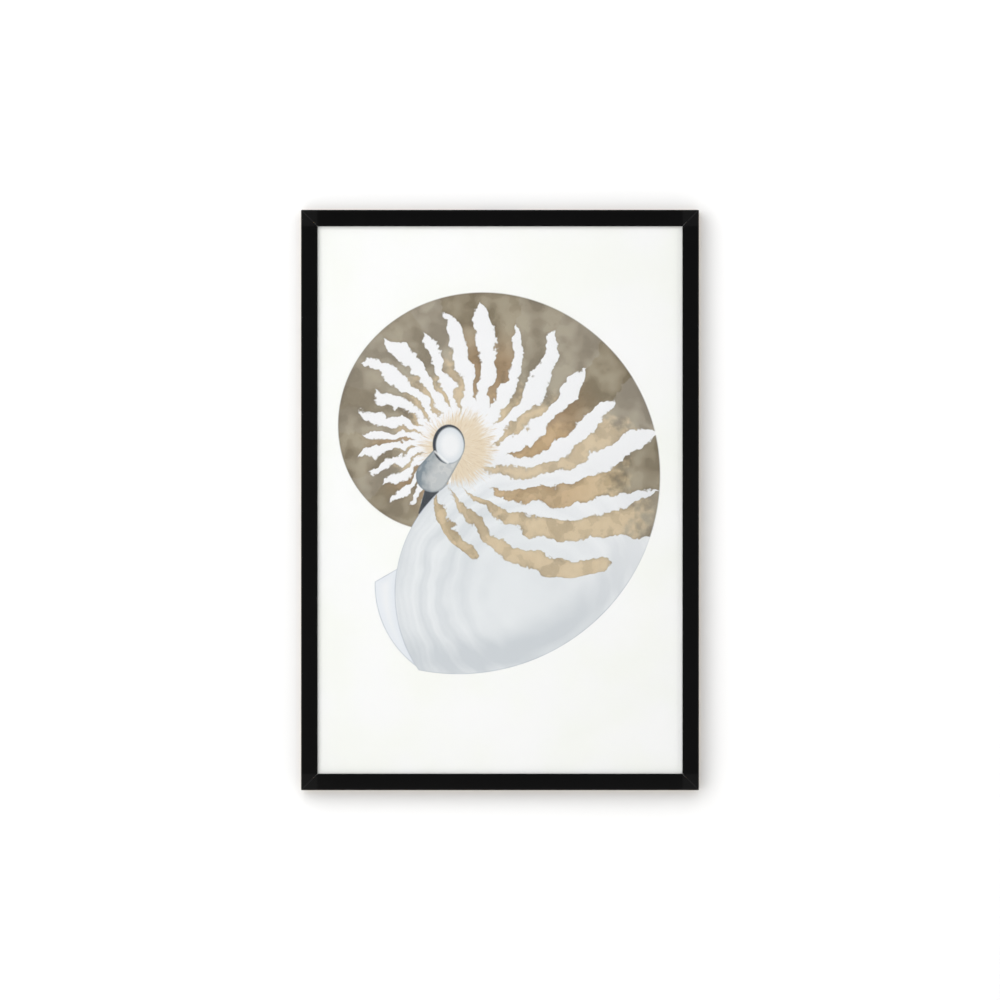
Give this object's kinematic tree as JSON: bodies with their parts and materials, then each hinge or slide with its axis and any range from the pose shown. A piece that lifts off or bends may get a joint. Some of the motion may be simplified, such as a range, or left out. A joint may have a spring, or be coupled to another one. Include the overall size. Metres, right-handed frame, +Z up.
{
  "type": "framed art print",
  "caption": "Portrait art print of a nautilus shell in a slim black mitred frame under clear glazing, with a sawtooth hanger and wall bumpers on its back.",
  "frame": {"origin": "middle notch of the sawtooth hanger, on the wall plane that the bumpers touch", "axes": "+Z up as hung, +Y from the picture's front into the wall, +X to the right of someone looking at the picture"},
  "size_m": [0.436, 0.0251, 0.636],
  "materials": {
    "black_rail": "satin black paint",
    "glazing": "clear, polished",
    "print": "matte watercolour paper with a printed shell study",
    "backing_board": "raw pressed fibre",
    "steel": "bright zinc",
    "hanger": "brass-plated steel",
    "bumper": "soft matte"
  },
  "bodies": {
    "root": {"rail_top": "black_rail", "rail_right": "black_rail", "rail_bottom": "black_rail", "rail_left": "black_rail", "glazing_sheet": "glazing", "print_sheet": "print", "backing_board": "backing_board", "point_top_1": "steel", "point_top_2": "steel", "point_right_1": "steel", "point_right_2": "steel", "point_right_3": "steel", "point_bottom_1": "steel", "point_bottom_2": "steel", "point_left_1": "steel", "point_left_2": "steel", "point_left_3": "steel", "mitre_wedge_top_right_1": "steel", "mitre_wedge_top_right_2": "steel", "mitre_wedge_bottom_right_1": "steel", "mitre_wedge_bottom_right_2": "steel", "mitre_wedge_bottom_left_1": "steel", "mitre_wedge_bottom_left_2": "steel", "mitre_wedge_top_left_1": "steel", "mitre_wedge_top_left_2": "steel", "hanger_screw_left": "steel", "hanger_screw_right": "steel", "sawtooth_hanger": "hanger", "bumper_left": "bumper", "bumper_right": "bumper"}
  },
  "joints": []
}
